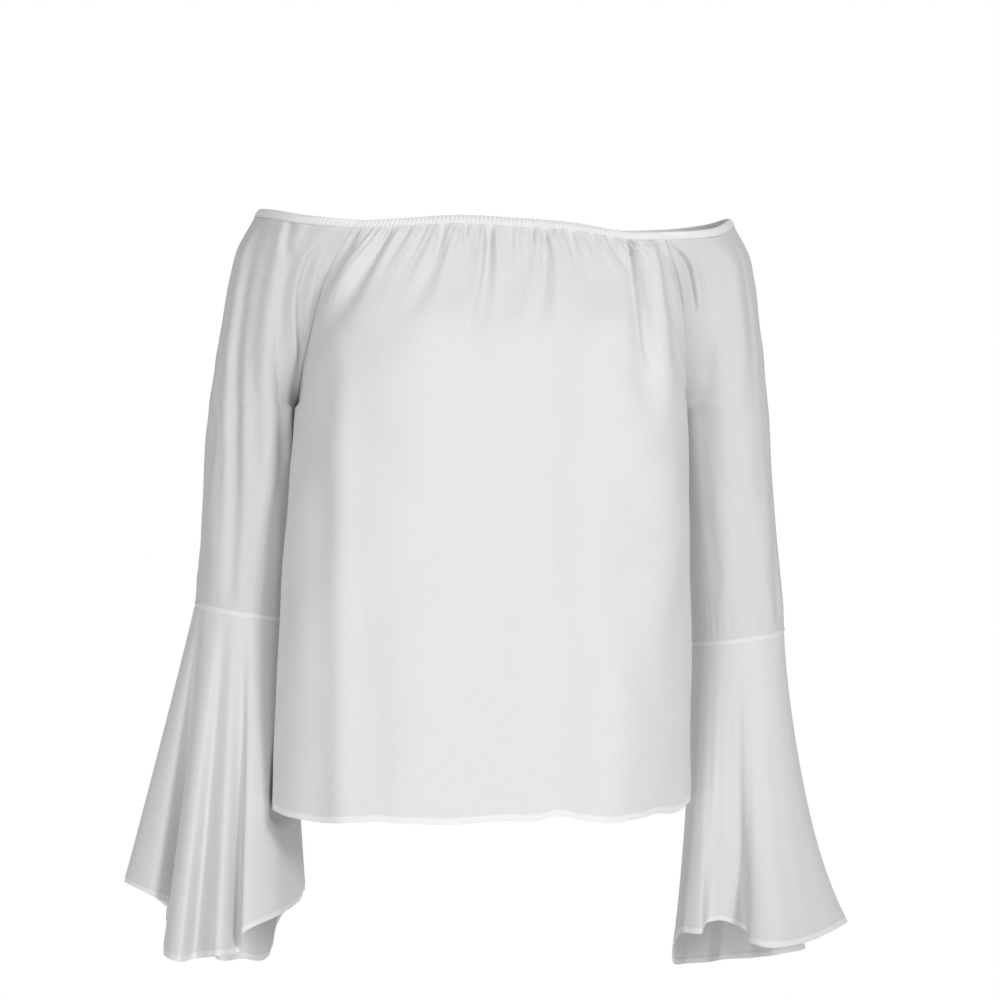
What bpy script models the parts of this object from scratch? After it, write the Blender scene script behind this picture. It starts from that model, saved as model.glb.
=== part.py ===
# Off-shoulder top with long sleeves and bell flounces, in its worn shape and hollow.
# +X is the wearer's left, +Y the wearer's back, +Z up. The origin is the middle of the neckline.
# Sizes are in millimetres until the meshes are made.

import math

import bpy
import numpy as np

MM = 0.001

WALL = 1.2
SEAM_GAP = 0.3
ARMHOLE_GAP = 0.5
REST_GAP = 1.3

CASING_HEIGHT = 9.0
CASING_DEPTH = 2.2
CASING_BULGE = 1.1
RUCHE_HEIGHT = 0.9
FRONT_RUCHES = 76
BACK_RUCHES = 62
SHOULDER_STEPS = 24

NECK_DROP = 17.0
NECK_FADE = 110.0
FOLD_RISE = 18.0
FOLD_RISE_LONG = 70.0
FOLD_MARGIN = 3.0
UNDERARM_DROP = 175.0
HEM_DROP = 541.0

FRONT_COLUMNS = 46
BACK_COLUMNS = 30
SLEEVE_COLUMNS = 24
FLOUNCE_STEPS = 3
YOKE_ROWS = 11
FRONT_ROWS = 12
BACK_ROWS = 9
SLEEVE_ROWS = 8
FLOUNCE_ROWS = 6

# Height of the neckline's top edge by bearing, in degrees from the front centre to the wearer's left.
NECKLINE = (
    ("bearing", "level"),
    (-180, -3), (-137, -2), (-118, 1), (-105, 5), (-93, 8), (-80, 4), (-68, -4), (-56, -9),
    (-48, -8), (-29, -5), (0, -7), (29, -10.5), (49, -17), (59, -16), (70, -11), (82, 0),
    (93, 5), (105, 3), (118, 0), (137, -2), (180, -3),
)

# Half sections of the front, from the centre to the seam with the sleeve or the back.
FRONT = (
    ("drop", "centre_y", "mid_x", "mid_y", "turn_x", "turn_y", "corner_x", "corner_y",
     "edge_x", "edge_y", "shift"),
    (17, -106, 68, -106, 110, -101, 128, -95, 141, -87, 0),
    (60, -124, 80, -124, 128, -110, 150, -90, 160, -64, -2),
    (110, -142, 88, -144, 140, -117, 164, -80, 171, -40, -4),
    (150, -146, 90, -147, 146, -117, 171, -68, 175, -10, -6),
    (175, -146, 90, -146, 148, -115, 174, -62, 175, 18, -7),
    (240, -142, 92, -142, 152, -112, 180, -56, 172, 18, -10),
    (360, -140, 95, -140, 155, -110, 187, -48, 167, 17, -16),
    (470, -142, 97, -142, 157, -108, 190, -42, 163, 16, -19),
    (541, -144, 98, -144, 158, -106, 191, -38, 161, 16, -20),
)

# Half sections of the back. Below the underarm its edge is the front's edge.
BACK = (
    ("drop", "centre_y", "mid_x", "mid_y", "edge_x", "edge_y"),
    (17, 112, 88, 109, 135, 97),
    (60, 118, 98, 114, 150, 86),
    (110, 120, 108, 110, 163, 66),
    (150, 114, 114, 101, 172, 40),
    (175, 108, 118, 94, 175, 18),
    (240, 100, 122, 83, 172, 18),
    (360, 104, 124, 84, 167, 17),
    (470, 112, 124, 88, 163, 16),
    (541, 116, 124, 91, 161, 16),
)

# Sleeve sections: an oval about a centre, open towards the body above the underarm.
SLEEVE = (
    ("drop", "centre_x", "centre_y", "half_x", "half_y", "front_sweep", "back_sweep"),
    (17, 140, 8, 82, 97, 90, 92),
    (38, 171, 13, 66, 84, 94, 102),
    (60, 187, 18, 57, 74, 98, 112),
    (110, 208, 27, 45, 62, 112, 140),
    (150, 214, 32, 44, 57, 134, 170),
    (175, 217, 34, 44, 55, 163, 197),
    (240, 222, 36, 43, 53, 163, 197),
    (300, 227, 36, 43, 51, 163, 197),
    (390, 234, 34, 43, 50, 163, 197),
)

# Troughs in the front that fall from the neckline, and one soft one below the chest.
FRONT_FOLDS = (
    ("top_x", "top_drop", "low_x", "low_drop", "depth", "width"),
    (-137, 17, -166, 132, 5.0, 7),
    (-106, 17, -150, 82, 4.0, 6),
    (-62, 17, -93, 90, 4.0, 6),
    (-43, 17, -41, 50, 2.5, 5),
    (-22, 17, -40, 112, 4.0, 6),
    (16, 17, 20, 45, 2.5, 5),
    (28, 17, 16, 104, 4.0, 6),
    (51, 17, 56, 54, 3.0, 5),
    (70, 17, 76, 40, 2.5, 5),
    (86, 17, 99, 48, 3.0, 5),
    (105, 17, 117, 150, 8.0, 8),
    (134, 17, 128, 150, -5.0, 9),
    (22, 110, 38, 545, 5.0, 26),
    (88, 330, 80, 545, -4.0, 26),
    (-60, 300, -66, 545, -4.0, 34),
    (-128, 380, -120, 545, 4.0, 16),
)

BACK_FOLDS = (
    ("top_x", "top_drop", "low_x", "low_drop", "depth", "width"),
    (-104, 17, -124, 110, 4.0, 7),
    (-70, 17, -84, 90, 3.5, 6),
    (-36, 17, -44, 120, 4.0, 7),
    (-4, 17, 4, 80, 3.0, 6),
    (34, 17, 46, 126, 4.0, 7),
    (72, 17, 82, 84, 3.5, 6),
    (106, 17, 122, 104, 4.0, 7),
    (-52, 190, -44, 545, 8.0, 26),
    (48, 220, 58, 545, 7.0, 24),
    (2, 300, 6, 545, -4.0, 26),
)

# Creases along the sleeves, by bearing from the front towards the outside.
SLEEVE_FOLDS = {
    "right": (
        ("bearing", "start", "low_bearing", "end", "depth", "width"),
        (-52, 14, -62, 60, 3.0, 9),
        (16, 44, -4, 400, 3.0, 15),
        (-26, 20, -30, 330, -2.0, 16),
        (112, 40, 120, 330, 3.0, 15),
        (158, 90, 150, 400, 3.0, 15),
    ),
    "left": (
        ("bearing", "start", "low_bearing", "end", "depth", "width"),
        (-30, 30, -22, 260, 2.5, 15),
        (12, 250, 8, 430, 3.5, 14),
        (44, 300, 46, 430, 2.5, 12),
        (116, 40, 120, 330, 3.0, 15),
        (160, 90, 152, 430, 3.0, 15),
    ),
}

# Level of each sleeve's seam with its flounce, and how far its outer side stands higher.
# A flare over 1 turns the hem out more than the top.
CUFF = {
    "right": {"drop": 361.0, "tilt": 7.5, "flare": 1.0},
    "left": {"drop": 386.0, "tilt": 6.0, "flare": 1.5},
}

# The folds of each flounce's hem: where the fold leaves the seam, and where its end hangs.
FLOUNCE = {
    "right": (
        ("bearing", "across", "behind", "drop"),
        (-100, 173, 42, 617), (-66, 181, 10, 626), (-30, 206, -50, 632), (-8, 237, -73, 643),
        (3, 240, -46, 663), (14, 261, -76, 663), (24, 279, -52, 669), (36, 294, -71, 668),
        (52, 308, -42, 661), (64, 292, 6, 632), (75, 315, -10, 617), (92, 340, 22, 607),
        (112, 322, 60, 618), (127, 296, 64, 640), (142, 298, 108, 655), (158, 264, 120, 680),
        (172, 248, 90, 690), (186, 227, 122, 693), (204, 204, 100, 690), (222, 195, 70, 650),
        (242, 177, 62, 630),
    ),
    "left": (
        ("bearing", "across", "behind", "drop"),
        (-98, 166, 10, 676), (-74, 164, -35, 656), (-52, 180, -56, 654), (-38, 190, -36, 647),
        (-24, 206, -38, 645), (-11, 228, -34, 656), (1, 221, -80, 660), (14, 244, -96, 662),
        (38, 285, -62, 660), (64, 329, -8, 652), (86, 322, 30, 660), (102, 298, 52, 674),
        (118, 312, 92, 690), (138, 286, 110, 698), (152, 256, 84, 697), (167, 234, 108, 701),
        (184, 213, 82, 700), (204, 195, 92, 702), (232, 177, 60, 697),
    ),
}

SIDES = {"right": -1, "left": 1}

CLOTH_COLOUR = (0.80, 0.80, 0.79, 1.0)
CLOTH_ROUGHNESS = 0.85


def column(table, name):
    place = table[0].index(name)
    return np.array([row[place] for row in table[1:]], float)


def through(keys, values, at, steady=False):
    # A smooth curve through rows of values, with each slope taken from its neighbours.
    # A steady one never goes past its rows.
    keys = np.asarray(keys, float)
    values = np.asarray(values, float).reshape(len(keys), -1)
    at = np.clip(np.atleast_1d(np.asarray(at, float)), keys[0], keys[-1])
    spans = np.diff(keys)
    rates = np.diff(values, axis=0) / spans[:, None]
    slopes = np.empty_like(values)
    slopes[0] = rates[0]
    slopes[-1] = rates[-1]
    weight = (spans[:-1] / (spans[:-1] + spans[1:]))[:, None]
    slopes[1:-1] = rates[:-1] * (1 - weight) + rates[1:] * weight
    if steady:
        agree = rates[:-1] * rates[1:] > 0
        least = np.minimum(np.abs(rates[:-1]), np.abs(rates[1:])) * 2
        slopes[1:-1] = np.where(agree, np.clip(slopes[1:-1], -least, least), 0)
    place = np.clip(np.searchsorted(keys, at, side="right") - 1, 0, len(keys) - 2)
    span = spans[place][:, None]
    t = ((at - keys[place]) / spans[place])[:, None]
    start = values[place] * (1 + 2 * t) * (1 - t) ** 2 + slopes[place] * span * t * (1 - t) ** 2
    end = values[place + 1] * (3 - 2 * t) * t ** 2 - slopes[place + 1] * span * (1 - t) * t ** 2
    return start + end


def read(table, drop):
    # Every column of a table at one drop, by name.
    keys = column(table, "drop")
    names = [name for name in table[0] if name != "drop"]
    values = np.stack([column(table, name) for name in names], axis=1)
    row = through(keys, values, drop, steady=True)[0]
    return dict(zip(names, row))


def even(points, count, trim=0.0):
    # Points at even lengths along a curve of close points, with its two ends trimmed.
    lengths = np.concatenate([[0], np.cumsum(np.linalg.norm(np.diff(points, axis=0), axis=1))])
    wanted = np.linspace(trim, lengths[-1] - trim, count + 1)
    return np.stack([np.interp(wanted, lengths, points[:, axis]) for axis in (0, 1)], axis=1)


def mirrored(half):
    # A whole section from its half, which starts at the centre.
    half = np.asarray(half, float)
    other = half[:0:-1] * (-1, 1)
    return np.concatenate([other, half])


def edge(drop, face):
    # Where the front or back panel ends on the wearer's left, before the shift.
    row = read(FRONT if face == "front" or drop >= UNDERARM_DROP else BACK, drop)
    return np.array([row["edge_x"], row["edge_y"]])


def body_section(drop, face):
    # The front or back from right to left. Below the underarm both are one closed curve.
    front = read(FRONT, drop)
    back = read(BACK, drop)
    front_half = [(0, front["centre_y"]), (front["mid_x"], front["mid_y"]),
                  (front["turn_x"], front["turn_y"]), (front["corner_x"], front["corner_y"]),
                  edge(drop, "front")]
    back_half = [(0, back["centre_y"]), (back["mid_x"], back["mid_y"]), edge(drop, "back")]
    half, other = (front_half, back_half) if face == "front" else (back_half, front_half)
    beyond = other[-2:-3:-1] if drop >= UNDERARM_DROP else []
    points = mirrored(half + beyond)
    keys = np.concatenate([[0], np.cumsum(np.linalg.norm(np.diff(points, axis=0), axis=1))])
    start, end = keys[len(beyond)], keys[len(points) - 1 - len(beyond)]
    return through(keys, points, np.linspace(start, end, 161)) + (front["shift"], 0)


def sleeve_section(drop, side, count, trim):
    # From the front of the armhole around the outside to its back.
    row = read(SLEEVE, drop)
    shift = read(FRONT, drop)["shift"]
    share = np.linspace(0, 1, 161)
    angle = np.radians(-row["front_sweep"] + (row["front_sweep"] + row["back_sweep"]) * share)
    oval = np.stack([row["centre_x"] + row["half_x"] * np.cos(angle),
                     row["centre_y"] + row["half_y"] * np.sin(angle)], axis=1)
    if drop < UNDERARM_DROP:
        start = edge(drop, "front") + (shift * side, 0) - oval[0]
        end = edge(drop, "back") + (shift * side, 0) - oval[-1]
        oval = oval + start * ((1 - share) ** 7)[:, None] + end * (share ** 7)[:, None]
    return even(oval, count, trim)


def stay(drop, start, end):
    # How much of a fold is there: it rises below its start, and fades at its end or runs on.
    if not start <= drop <= end:
        return 0.0
    rise = min(1.0, (drop - start) / (FOLD_RISE if end < HEM_DROP else FOLD_RISE_LONG))
    fade = math.cos((drop - start) / (end - start) * math.pi / 2) if end < HEM_DROP else 1.0
    return rise * rise * (3 - 2 * rise) * fade


def towards_ends(count):
    # Folds fade over the last columns, so that seams stay where they are.
    place = np.arange(count)
    return np.clip(np.minimum(place, place[::-1]) / FOLD_MARGIN, 0, 1)


def folded(points, drop, folds):
    # Push points of a section in at each trough, along the section's own normal.
    along = np.gradient(points, axis=0)
    normal = np.stack([along[:, 1], -along[:, 0]], axis=1)
    normal /= np.linalg.norm(normal, axis=1)[:, None]
    push = np.zeros(len(points))
    for top_x, top_drop, low_x, low_drop, depth, width in folds[1:]:
        middle = top_x + (low_x - top_x) * (drop - top_drop) / (low_drop - top_drop)
        share = stay(drop, top_drop, low_drop)
        push += depth * share * np.exp(-((points[:, 0] - middle) / width) ** 2)
    push *= towards_ends(len(push))
    return points - normal * push[:, None]


def bearing(points):
    return np.degrees(np.arctan2(points[:, 0], -points[:, 1]))


def raised(points, drop):
    # Near the neckline each row follows the neckline's own height.
    edge_level = through(column(NECKLINE, "bearing"), column(NECKLINE, "level"), bearing(points))[:, 0]
    edge_level -= CASING_HEIGHT + SEAM_GAP
    fade = max(0.0, 1 - (drop - NECK_DROP) / NECK_FADE) ** 2
    level = -drop + (edge_level + NECK_DROP) * fade
    return np.column_stack([points, level])


def front_row(drop):
    trim = (ARMHOLE_GAP if drop < UNDERARM_DROP else SEAM_GAP) / 2
    return raised(folded(even(body_section(drop, "front"), FRONT_COLUMNS, trim), drop, FRONT_FOLDS), drop)


def back_row(drop):
    trim = (ARMHOLE_GAP if drop < UNDERARM_DROP else SEAM_GAP) / 2
    row = folded(even(body_section(drop, "back"), BACK_COLUMNS, trim) * (1, -1), drop, BACK_FOLDS)
    return raised(row * (1, -1), drop)


def body_limit(drop, side):
    # The body's outline on one side, as pairs of y and distance from the middle.
    front = even(body_section(drop, "front"), 80)
    back = even(body_section(drop, "back"), 80)
    ring = np.concatenate([front, back[::-1]])
    ring = ring[ring[:, 0] * side > 90]
    order = np.argsort(ring[:, 1])
    return ring[order, 1], ring[order, 0] * side


def clear_of_body(points, side):
    # Move sleeve points out to where they just clear the body.
    out = points.copy()
    for place, (across, behind, level) in enumerate(points):
        below = max(0.0, -level - HEM_DROP - 3)
        if -level > UNDERARM_DROP - 1 and below < 60:
            ys, xs = body_limit(min(-level, HEM_DROP), side)
            limit = max(np.interp(behind + nudge, ys, xs, 0, 0) for nudge in (-4, 0, 4))
            out[place, 0] = max(across, limit + REST_GAP - below)
    return out


def yoke_drops():
    share = np.linspace(0, 1, YOKE_ROWS + 1)
    return NECK_DROP + (UNDERARM_DROP - NECK_DROP) * share ** 1.35


def lower_drops(end, count):
    return np.linspace(UNDERARM_DROP, end, count + 1)[1:]


def sleeve_rows(name):
    side = SIDES[name]
    cuff = CUFF[name]
    end = cuff["drop"] - SEAM_GAP / 2
    rows = []
    for drop in np.concatenate([yoke_drops(), lower_drops(end, SLEEVE_ROWS)]):
        open_row = drop < UNDERARM_DROP
        trim = ARMHOLE_GAP / 2 if open_row else 0
        section = sleeve_section(drop, side, SLEEVE_COLUMNS, trim)
        row = read(SLEEVE, drop)
        around = bearing(section - (row["centre_x"], row["centre_y"]))
        section = creased(section, around, drop, SLEEVE_FOLDS[name])
        points = raised(section * (side, 1), drop) * (side, 1, 1)
        lean = max(0.0, (drop - UNDERARM_DROP) / (end - UNDERARM_DROP)) ** 3
        points[:, 2] += cuff["tilt"] * lean * (points[:, 0] - row["centre_x"]) / row["half_x"]
        rows.append(points if open_row else clear_of_body(points, side))
    return rows


def creased(section, around, drop, folds):
    centre = section.mean(axis=0)
    arm = section - centre
    arm /= np.linalg.norm(arm, axis=1)[:, None]
    push = np.zeros(len(section))
    for start_bearing, start, low_bearing, end, depth, width in folds[1:]:
        share = min(1.0, max(0.0, (drop - start) / (end - start)))
        middle = start_bearing + (low_bearing - start_bearing) * share
        push += depth * math.sqrt(math.sin(math.pi * share)) * np.exp(-((around - middle) / width) ** 2)
    push *= towards_ends(len(push))
    return section - arm * push[:, None]


def cuff_ring(name, bearings):
    # The seam between sleeve and flounce, at given bearings.
    cuff = CUFF[name]
    row = read(SLEEVE, cuff["drop"])
    angle = np.radians(bearings)
    across = row["centre_x"] + row["half_x"] * np.sin(angle)
    behind = row["centre_y"] - row["half_y"] * np.cos(angle)
    level = -cuff["drop"] - SEAM_GAP / 2 + cuff["tilt"] * np.sin(angle)
    return np.column_stack([across, behind, level])


def flounce_rows(name):
    table = FLOUNCE[name]
    count = len(table) - 1
    wrap = 3
    keys = np.arange(-wrap, count + wrap)
    values = np.stack([column(table, part) for part in table[0]], axis=1)[keys % count]
    values[:, 0] += 360 * (keys // count)
    fine = through(keys, values, np.arange(count * FLOUNCE_STEPS) / FLOUNCE_STEPS)
    seam = cuff_ring(name, fine[:, 0])
    hem = np.column_stack([fine[:, 1], fine[:, 2], -fine[:, 3]])
    rows = []
    for share in np.linspace(0, 1, FLOUNCE_ROWS + 1):
        shares = (share ** CUFF[name]["flare"], share ** CUFF[name]["flare"], share)
        rows.append(clear_of_body(seam + (hem - seam) * shares, SIDES[name]))
    return rows


def grid_faces(row_count, width, closed_from):
    # Quads between rows; from a given row on, the last column is the first one again.
    def vertex(row, place):
        if place == width and row >= closed_from:
            place = 0
        return row * (width + 1) + place
    faces = []
    for row in range(row_count - 1):
        for place in range(width):
            corners = (vertex(row, place), vertex(row, place + 1),
                       vertex(row + 1, place + 1), vertex(row + 1, place))
            faces.append(corners)
    return faces


def add_object(name, vertices, faces, collection, material):
    mesh = bpy.data.meshes.new(name)
    used = sorted({vertex for face in faces for vertex in face})
    renumber = {vertex: place for place, vertex in enumerate(used)}
    points = [tuple(float(value) * MM for value in vertices[vertex]) for vertex in used]
    mesh.from_pydata(points, [], [[renumber[vertex] for vertex in face] for face in faces])
    mesh.materials.append(material)
    mesh.update()
    body = bpy.data.objects.new(name, mesh)
    collection.objects.link(body)
    return body


def add_cloth(name, rows, closed_from, outward, collection, material):
    # A wall grown inwards from its outer surface.
    width = len(rows[0]) - 1
    faces = grid_faces(len(rows), width, closed_from)
    if not outward:
        faces = [face[::-1] for face in faces]
    body = add_object(name, np.concatenate(rows), faces, collection, material)
    wall = body.modifiers.new("Wall", "SOLIDIFY")
    wall.thickness = WALL * MM
    wall.offset = -1
    wall.use_even_offset = False
    wall.use_rim = True
    return body


def neck_path(drop):
    # The rows of all four panels at one drop, as one closed path from the front's right end.
    front = even(body_section(drop, "front"), 120)
    back = even(body_section(drop, "back"), 100)[::-1]
    left = sleeve_section(drop, 1, 80, 0)
    right = (sleeve_section(drop, -1, 80, 0) * (-1, 1))[::-1]
    path = np.concatenate([front[:-1], left[:-1], back[:-1], right])
    return raised(path, drop), (0, 120, 200, 300, 380)


def casing_rows():
    upper, corners = neck_path(NECK_DROP)
    lower, _ = neck_path(NECK_DROP + 6)
    lengths = np.concatenate([[0], np.cumsum(np.linalg.norm(np.diff(upper, axis=0), axis=1))])
    stretches = ((FRONT_RUCHES, True), (SHOULDER_STEPS, False), (BACK_RUCHES, True),
                 (SHOULDER_STEPS, False))
    at = []
    wave = []
    for place, (count, ruched) in enumerate(stretches):
        steps = count * 2 if ruched else count
        start, end = lengths[corners[place]], lengths[corners[place + 1]]
        at.extend(start + (end - start) * step / steps for step in range(steps))
        wave.extend((1 if step % 2 else -1) if ruched else 0 for step in range(steps))
    wave = np.array(wave)[:, None]
    base = np.stack([np.interp(at, lengths, upper[:, axis]) for axis in range(3)], axis=1)
    under = np.stack([np.interp(at, lengths, lower[:, axis]) for axis in range(3)], axis=1)
    up = base - under
    up /= np.linalg.norm(up, axis=1)[:, None]
    along = np.roll(base, -1, axis=0) - np.roll(base, 1, axis=0)
    out = np.cross(along, up)
    out /= np.linalg.norm(out, axis=1)[:, None]
    foot = base + up * SEAM_GAP
    crest = foot + up * CASING_HEIGHT
    middle = foot + up * CASING_HEIGHT * 0.5
    return [
        foot,
        middle + out * (CASING_BULGE + RUCHE_HEIGHT * wave),
        crest + out * 0.3 * wave + up * 0.35 * wave,
        crest - out * CASING_DEPTH,
        foot - out * CASING_DEPTH + up * SEAM_GAP * 2,
    ]


def add_casing(collection, material):
    rows = casing_rows()
    count = len(rows[0])
    faces = []
    for row in range(len(rows)):
        above = (row + 1) % len(rows)
        for place in range(count):
            beyond = (place + 1) % count
            faces.append((row * count + place, row * count + beyond,
                          above * count + beyond, above * count + place))
    return add_object("neck_casing", np.concatenate(rows), faces, collection, material)


def make_material(name):
    material = bpy.data.materials.new(name)
    material.use_nodes = True
    surface = material.node_tree.nodes["Principled BSDF"]
    surface.inputs["Base Color"].default_value = CLOTH_COLOUR
    surface.inputs["Roughness"].default_value = CLOTH_ROUGHNESS
    return material


def build():
    for body in list(bpy.data.objects):
        bpy.data.objects.remove(body)
    collection = bpy.data.collections.new("off_shoulder_top")
    bpy.context.scene.collection.children.link(collection)

    yoke = list(yoke_drops())
    never = 10 ** 6
    front = [front_row(drop) for drop in yoke + list(lower_drops(HEM_DROP, FRONT_ROWS))]
    back = [back_row(drop) for drop in yoke + list(lower_drops(HEM_DROP, BACK_ROWS))]
    add_cloth("front", front, never, False, collection, make_material("front_crepe"))
    add_cloth("back", back, never, True, collection, make_material("back_crepe"))
    for name, side in SIDES.items():
        rows = [points * (side, 1, 1) for points in sleeve_rows(name)]
        add_cloth("sleeve_" + name, rows, YOKE_ROWS, side < 0, collection,
                  make_material("sleeve_" + name + "_crepe"))
        rows = [points * (side, 1, 1) for points in flounce_rows(name)]
        rows = [np.concatenate([points, points[:1]]) for points in rows]
        add_cloth("flounce_" + name, rows, 0, side < 0, collection,
                  make_material("flounce_" + name + "_crepe"))
    add_casing(collection, make_material("casing_crepe"))


build()
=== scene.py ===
import math

import bpy
import numpy as np
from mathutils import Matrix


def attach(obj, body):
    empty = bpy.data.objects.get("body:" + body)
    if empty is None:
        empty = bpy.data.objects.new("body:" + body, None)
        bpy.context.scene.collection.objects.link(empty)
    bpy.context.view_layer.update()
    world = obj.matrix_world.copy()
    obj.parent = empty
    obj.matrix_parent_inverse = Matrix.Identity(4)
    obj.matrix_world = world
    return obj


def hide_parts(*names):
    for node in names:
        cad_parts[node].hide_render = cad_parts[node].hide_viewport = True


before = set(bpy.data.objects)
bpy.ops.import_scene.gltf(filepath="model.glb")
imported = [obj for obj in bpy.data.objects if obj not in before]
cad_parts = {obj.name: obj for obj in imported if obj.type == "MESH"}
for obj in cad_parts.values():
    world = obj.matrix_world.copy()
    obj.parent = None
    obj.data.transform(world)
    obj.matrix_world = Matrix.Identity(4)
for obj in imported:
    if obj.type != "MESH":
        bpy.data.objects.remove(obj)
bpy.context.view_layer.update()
mm = 0.001

# ---- the view: a level camera, a little to one side of the garment's middle ----

view = {
    "turn": 8.0,            # degrees
    "distance": 3.0,
    "height": -0.259,
    "aside": 0.003,
    "sensor": 36.0,
    "acrossAtOrigin": 0.92,  # metres across the picture at the garment's middle
}

scene = bpy.context.scene


def addObject(name, data):
    thing = bpy.data.objects.new(name, data)
    scene.collection.objects.link(thing)
    return thing


turn = math.radians(view["turn"])
cameraData = bpy.data.cameras.new("photoCamera")
cameraData.sensor_width = view["sensor"]
cameraData.lens = view["sensor"] * view["distance"] / view["acrossAtOrigin"]
cameraData.clip_end = 30
camera = addObject("photoCamera", cameraData)
camera.location = (view["aside"] * math.cos(turn) - view["distance"] * math.sin(turn),
                   -view["aside"] * math.sin(turn) - view["distance"] * math.cos(turn),
                   view["height"])
camera.rotation_euler = (math.pi / 2, 0, -turn)
scene.camera = camera
print("camera set")

# ---- smooth curves through short tables, in millimetres ----


def column(table, name):
    place = table[0].index(name)
    return np.array([row[place] for row in table[1:]], float)


def through(keys, values, at, steady=False):
    # slopes come from the neighbours; a steady curve never goes past its rows
    keys = np.asarray(keys, float)
    values = np.asarray(values, float).reshape(len(keys), -1)
    at = np.clip(np.atleast_1d(np.asarray(at, float)), keys[0], keys[-1])
    spans = np.diff(keys)
    rates = np.diff(values, axis=0) / spans[:, None]
    slopes = np.empty_like(values)
    slopes[0] = rates[0]
    slopes[-1] = rates[-1]
    weight = (spans[:-1] / (spans[:-1] + spans[1:]))[:, None]
    slopes[1:-1] = rates[:-1] * (1 - weight) + rates[1:] * weight
    if steady:
        agree = rates[:-1] * rates[1:] > 0
        least = np.minimum(np.abs(rates[:-1]), np.abs(rates[1:])) * 2
        slopes[1:-1] = np.where(agree, np.clip(slopes[1:-1], -least, least), 0)
    place = np.clip(np.searchsorted(keys, at, side="right") - 1, 0, len(keys) - 2)
    span = spans[place][:, None]
    t = ((at - keys[place]) / spans[place])[:, None]
    start = values[place] * (1 + 2 * t) * (1 - t) ** 2 + slopes[place] * span * t * (1 - t) ** 2
    end = values[place + 1] * (3 - 2 * t) * t ** 2 - slopes[place + 1] * span * (1 - t) * t ** 2
    return start + end


def read(table, drop):
    names = [name for name in table[0] if name != "drop"]
    values = np.stack([column(table, name) for name in names], axis=1)
    return dict(zip(names, through(column(table, "drop"), values, drop, steady=True)[0]))


def lengthsOf(points):
    steps = np.linalg.norm(np.diff(points, axis=0), axis=1)
    return np.concatenate([[0], np.cumsum(steps)])


def even(points, count):
    lengths = lengthsOf(points)
    wanted = np.linspace(0, lengths[-1], count + 1)
    return np.stack([np.interp(wanted, lengths, points[:, axis]) for axis in range(points.shape[1])],
                    axis=1)


def rise(value):
    value = np.clip(value, 0, 1)
    return value * value * (3 - 2 * value)


def bump(offset, width):
    return np.exp(-(offset / width) ** 2)


def wander(at, seed, length, parts=5):
    # a smooth uneven line between about -1 and 1
    chance = np.random.default_rng(seed)
    total = np.zeros_like(np.asarray(at, float))
    for part in range(parts):
        total = total + np.sin(np.asarray(at) / length * chance.uniform(2.2, 7.5)
                               + chance.uniform(0, 6.28))
    return total / math.sqrt(parts * 0.5) / 1.6


# ---- the body's and the sleeves' forms ----

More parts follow.
